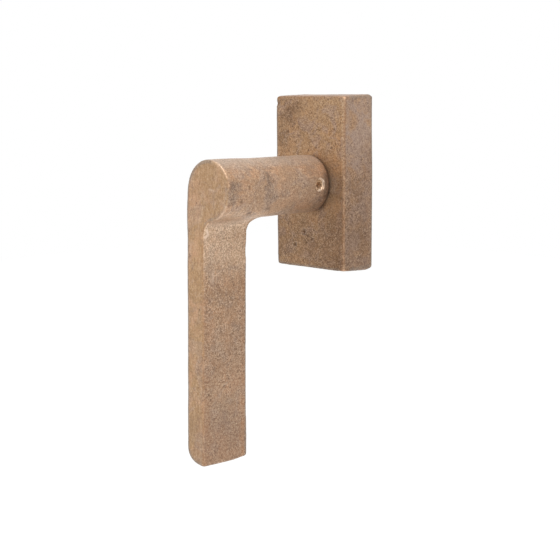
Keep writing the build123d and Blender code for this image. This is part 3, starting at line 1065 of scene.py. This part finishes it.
def sand_grain(g):
    """Dark pits and light crests of the sand, and the smallest light dots alone."""
    dark_a, light_a = g.dots(0.95)
    dark_b, light_b = g.dots(0.55)
    coarse = g.grains(0.85, 2, 0.7, warp=0.4)
    fine = g.grains(0.50, 2, 0.6)
    dark = g.most(g.times(dark_a, 0.45), g.times(dark_b, 0.8))
    dark = g.most(dark, g.span(coarse, 0.44, 0.30), g.span(fine, 0.44, 0.31))
    light = g.most(g.times(light_a, 0.4), g.times(light_b, 0.8))
    light = g.most(light, g.span(coarse, 0.56, 0.72), g.span(fine, 0.56, 0.70))
    return dark, light, light_b


def bronze(name, tones, holed=False):
    """Raw sand-cast bronze: speckle, dark patches, rubbed edges with painted highlights, and
    darker corners and pits with painted shade.
    """
    g = Graph(name)
    colour = cast_colour(g, tones, holed)

    # The sand grain is thicker in some places.
    dark, light, granules = sand_grain(g)
    thick = g.times(g.layer("grain"), g.span(g.grains(5.5, 2, 0.5), 0.35, 0.62, 0.6, 1.0))
    thick = g.plus(thick, g.times(g.layer("pale"), 0.25))
    colour = g.mix(g.times(g.times(dark, thick), tones["dark"]), colour, tones["pit"])
    colour = g.mix(g.times(g.times(light, thick), tones["light"]), colour, tones["crest"])
    spots = g.times(g.span(g.grains(1.1, 1, 0.4), 0.31, 0.25), g.span(g.grains(8, 2), 0.48, 0.6))
    colour = g.mix(g.times(spots, 0.7), colour, tones["pit"])

    # Faint upright brush marks, on the handle's rubbed front only.
    brushed = g.grains(0.60, 3, 0.6, stretch=(1, 1, 4))
    brush = g.times(g.layer("facing"), 0.20 if holed else 0.0)
    colour = g.mix(g.times(g.span(brushed, 0.48, 0.7), brush), colour, tones["crest"])
    colour = g.mix(g.times(g.span(brushed, 0.5, 0.32), brush), colour, tones["stain"])

    # Pale grains and painted light, in the crest tone.
    granules = g.most(granules, g.span(g.grains(0.62, 2, 0.6), 0.50, 0.62))
    pale = g.times(g.layer("pale"), g.plus(0.25, g.times(granules, 0.75)))
    colour = g.mix(pale, colour, tones["crest"])
    # Rubbed metal and painted highlights.
    colour = g.mix(g.times(g.layer("wear"), 0.9), colour, tones["worn"])
    # Pits, darker corners and painted shade.
    colour = g.mix(g.times(g.layer("dirt"), 0.75), colour, tones["pit"])

    height = g.minus(light, dark)
    rough = g.span(height, -1.0, 1.0, 0.62, 0.42)
    rough = g.minus(rough, g.times(g.layer("wear"), 0.12))
    if holed:
        # Painted highlight and painted shade in the set screw's hole.
        bright = g.layer("bright")
        colour = g.mix(bright, colour, tones["bright"])
        colour = g.mix(g.layer("hollow"), colour, tones["hollow"])
        rough = g.minus(rough, g.times(bright, 0.2))
    normal = g.bump(height, g.times(thick, 0.55), 0.07)
    normal = g.bump(brushed, g.times(brush, 0.5), 0.05, normal)
    return g.finish(Base_Color=colour, Metallic=0.62, Roughness=rough, Normal=normal)


def machined(name, colour, shade, metallic=0.9, rough=0.34, stretch=(1, 1, 1), grain=0.5):
    """Machined, drawn or die-cast metal, or plastic, with fine marks and slight clouding."""
    g = Graph(name)
    clouds = g.span(g.grains(5, 3, 0.6), 0.35, 0.7)
    tone = g.mix(clouds, colour, shade)
    marks = g.grains(grain, 3, 0.6, stretch=stretch)
    tone = g.mix(g.span(marks, 0.45, 0.7, 0, 0.35), tone, tuple(0.6 * c for c in shade))
    roughness = g.span(g.grains(2.2, 3), 0.35, 0.65, rough - 0.06, rough + 0.10)
    normal = g.bump(marks, 0.35, 0.03)
    return g.finish(Base_Color=tone, Metallic=metallic, Roughness=roughness, Normal=normal)


def screw_brass():
    """Brass for the set screw: its end is brown, with painted highlights at the right of its rim
    and on its lower side, and its socket is painted lighter against its shade.
    """
    rim_start, rim_end = 1.75, 2.15
    socket_x, end_x = 8.6, 10.1
    g = Graph("brass_set_screw")
    place = g.node("ShaderNodeSeparateXYZ", {"Vector": g.place})
    across = g.plus(place.outputs["Y"], HOLE_DEPTH * MM)
    up = g.minus(place.outputs["Z"], 0.35 * MM)
    squares = g.plus(g.times(across, across), g.times(up, up))
    rim = g.span(g.maths("SQRT", squares, 0.0), rim_start * MM, rim_end * MM)
    end = g.span(place.outputs["X"], socket_x * MM, end_x * MM)
    right_rim = g.times(rim, g.span(across, -0.9 * MM, 0.5 * MM))
    # the socket painted lighter against its shade
    tone = g.mix(end, SCREW_TONES["socket"], SCREW_TONES["end"])
    low_side = g.times(end, g.span(up, -0.4 * MM, -1.2 * MM))
    # painted highlight on the end's lower side
    tone = g.mix(g.times(low_side, 0.4), tone, SCREW_TONES["low side"])
    # painted highlight at the right of the rim
    tone = g.mix(g.times(right_rim, end), tone, SCREW_TONES["right rim"])
    specks = g.grains(0.5, 3, 0.6)
    tone = g.mix(g.span(specks, 0.46, 0.34), tone, SCREW_TONES["pit"])
    tone = g.mix(g.times(g.span(specks, 0.58, 0.70), end), tone, SCREW_TONES["crest"])
    normal = g.bump(specks, 0.5, 0.05)
    return g.finish(Base_Color=tone, Metallic=0.45, Roughness=0.42, Normal=normal)


handle_bronze = bronze("cast_bronze_handle", HANDLE_TONES, holed=True)
rosette_bronze = bronze("cast_bronze_rosette", ROSETTE_TONES)
zinc = machined("die_cast_zinc", (0.42, 0.43, 0.44), (0.30, 0.31, 0.32), rough=0.5, grain=0.8)
steel = machined("machined_steel", (0.46, 0.45, 0.44), (0.33, 0.32, 0.31), rough=0.32)
drawn = machined(
    "zinc_plated_bar", (0.62, 0.63, 0.64), (0.48, 0.49, 0.50), rough=0.3, stretch=(1, 30, 1)
)
plated = machined("zinc_plated_sheet", (0.62, 0.63, 0.64), (0.50, 0.51, 0.52), rough=0.3)
blued = machined("blued_spring_steel", (0.16, 0.17, 0.21), (0.10, 0.10, 0.12), rough=0.3)
stainless = machined("stainless_steel", (0.58, 0.55, 0.50), (0.44, 0.40, 0.35), rough=0.28)
acetal = machined(
    "black_acetal", (0.055, 0.043, 0.034), (0.080, 0.062, 0.048), metallic=0.0, rough=0.42
)


def dress(node, material, bevel):
    """Gives a CAD node its material, and softens its sharp edges a little."""
    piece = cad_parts[node]
    piece.data.materials.clear()
    piece.data.materials.append(material)
    weld = piece.modifiers.new("join", "WELD")
    weld.merge_threshold = 0.001 * MM
    soft = piece.modifiers.new("edges", "BEVEL")
    soft.width = bevel * MM
    soft.segments = 2
    soft.limit_method = "ANGLE"
    soft.angle_limit = math.radians(32)
    soft.harden_normals = True


def replace_casting(piece, node, body, material):
    piece.data.materials.append(material)
    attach(piece, body)
    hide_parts(node)


dress("base_plate", zinc, bevel=0.25)
dress("driver_hub", steel, bevel=0.12)
dress("spindle", drawn, bevel=0.10)
dress("mechanism_lid", plated, bevel=0.08)
dress("lid_screws", plated, bevel=0.05)
dress("neck_bush", acetal, bevel=0.10)
dress("grub_screw", screw_brass(), bevel=0.10)
dress("cover_screw", stainless, bevel=0.08)
dress("disc_spring", blued, bevel=0.05)
for leaf in ("left_1", "left_2", "right_1", "right_2"):
    dress(f"detent_leaf_{leaf}", blued, bevel=0.06)
replace_casting(make_handle(), "handle", "handle", handle_bronze)
replace_casting(make_rosette(), "rosette_cover", "rosette", rosette_bronze)


# Studio, in metres

FLOOR_Z, FLOOR_HALF_SIZE = -0.62, 4.0
FLOOR_GREY, FLOOR_GLOW = 0.92, 0.45
ROOM_LIGHT, ROOM_WHITE = 0.60, 1.0  # the world as a light, and as it is seen
# Name, place, what it aims at, size and watts
LAMPS = (
    ("key", (0.70, -0.62, 0.75), (0, -0.03, -0.02), 0.6, 7.0),
    ("overhead", (0.05, -0.20, 1.10), (0, -0.03, 0), 0.8, 7.5),
    ("fill", (-0.80, -1.00, 0.15), (0, -0.03, -0.04), 0.9, 1.5),
)
# The camera's angles in degrees, then its target, distance, lens and sensor in millimetres
AZIMUTH, ELEVATION = 45.0, 7.943
TARGET, DISTANCE = (-1.263, -30.576, -36.432), 581.3
LENS, SENSOR = 97.49, 36.0


def when_seen(tree):
    """1 where the camera looks straight, by reflection or through glass, otherwise 0."""
    path = tree.nodes.new("ShaderNodeLightPath")
    seen = path.outputs["Is Camera Ray"]
    for kind in ("Is Glossy Ray", "Is Transmission Ray"):
        either = tree.nodes.new("ShaderNodeMath")
        either.operation = "MAXIMUM"
        tree.links.new(seen, either.inputs[0])
        tree.links.new(path.outputs[kind], either.inputs[1])
        seen = either.outputs[0]
    return seen


def make_world():
    world = bpy.data.worlds.new("studio")
    bpy.context.scene.world = world
    world.use_nodes = True
    tree = world.node_tree
    tree.nodes.clear()
    either = tree.nodes.new("ShaderNodeMixShader")
    tree.links.new(when_seen(tree), either.inputs[0])
    for index, strength in ((1, ROOM_LIGHT), (2, ROOM_WHITE)):
        background = tree.nodes.new("ShaderNodeBackground")
        background.inputs["Color"].default_value = (1, 1, 1, 1)
        background.inputs["Strength"].default_value = strength
        tree.links.new(background.outputs[0], either.inputs[index])
    output = tree.nodes.new("ShaderNodeOutputWorld")
    tree.links.new(either.outputs[0], output.inputs["Surface"])


def floor_white():
    """Matt white that glows a little where it is seen, so that it blends into the room."""
    material = bpy.data.materials.new("floor_white")
    material.use_nodes = True
    tree = material.node_tree
    tree.nodes.clear()
    matt = tree.nodes.new("ShaderNodeBsdfDiffuse")
    matt.inputs["Color"].default_value = (FLOOR_GREY, FLOOR_GREY, FLOOR_GREY, 1)
    glow = tree.nodes.new("ShaderNodeEmission")
    scaled = tree.nodes.new("ShaderNodeMath")
    scaled.operation = "MULTIPLY"
    scaled.inputs[1].default_value = FLOOR_GLOW
    tree.links.new(when_seen(tree), scaled.inputs[0])
    tree.links.new(scaled.outputs[0], glow.inputs["Strength"])
    both = tree.nodes.new("ShaderNodeAddShader")
    output = tree.nodes.new("ShaderNodeOutputMaterial")
    tree.links.new(matt.outputs[0], both.inputs[0])
    tree.links.new(glow.outputs[0], both.inputs[1])
    tree.links.new(both.outputs[0], output.inputs["Surface"])
    return material


def make_floor():
    """A plain pale floor, far enough below for its shadow to stay soft."""
    form = bmesh.new()
    bmesh.ops.create_grid(form, x_segments=8, y_segments=8, size=FLOOR_HALF_SIZE)
    floor = add_object("floor", mesh_of(form, "floor"))
    floor.location = (0, 0, FLOOR_Z)
    floor.data.materials.append(floor_white())


def add_lamp(name, place, aim, size, watts):
    lamp = bpy.data.lights.new(name, "AREA")
    lamp.shape = "SQUARE"
    lamp.size = size
    lamp.energy = watts
    holder = add_object(name, lamp)
    holder.location = place
    direction = Vector(aim) - Vector(place)
    holder.rotation_euler = direction.to_track_quat("-Z", "Y").to_euler()


def make_camera():
    azimuth, elevation = math.radians(AZIMUTH), math.radians(ELEVATION)
    back = Vector((
        math.sin(azimuth) * math.cos(elevation),
        -math.cos(azimuth) * math.cos(elevation),
        math.sin(elevation),
    ))
    lens = bpy.data.cameras.new("camera")
    lens.sensor_width = SENSOR
    lens.lens = LENS
    lens.clip_start = 0.01
    lens.clip_end = 20.0
    camera = add_object("camera", lens)
    camera.location = Vector(TARGET) * MM + back * DISTANCE * MM
    camera.rotation_euler = (-back).to_track_quat("-Z", "Y").to_euler()
    bpy.context.scene.camera = camera


make_world()
make_floor()
for lamp in LAMPS:
    add_lamp(*lamp)
make_camera()
bpy.context.scene.view_settings.view_transform = "Standard"
